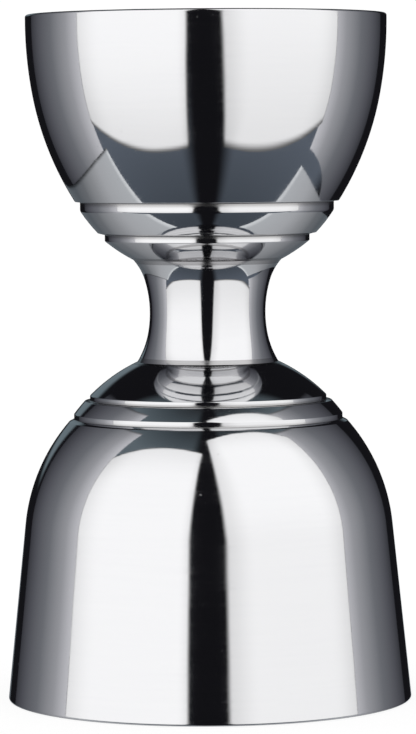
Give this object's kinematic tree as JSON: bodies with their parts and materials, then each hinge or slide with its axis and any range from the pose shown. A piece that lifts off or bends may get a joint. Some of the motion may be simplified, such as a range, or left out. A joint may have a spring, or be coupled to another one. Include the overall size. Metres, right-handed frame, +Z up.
{
  "type": "bar jigger",
  "caption": "Double bell bar jigger in mirror-polished steel: a small cup above a waisted neck and a large bell cup below, each with stepped rings next to the neck.",
  "frame": {"origin": "centre of the large cup's rim plane, which the jigger stands on", "axes": "+Z up the axis of revolution, from the large cup to the small cup's mouth; X and Y are alike"},
  "size_m": [0.0488, 0.0488, 0.0825],
  "materials": {
    "polished_steel": "polished",
    "weld_steel": "gloss"
  },
  "bodies": {
    "root": {"large_cup": "polished_steel", "lower_seam": "weld_steel", "neck": "polished_steel", "upper_seam": "weld_steel", "small_cup": "polished_steel"}
  },
  "joints": []
}
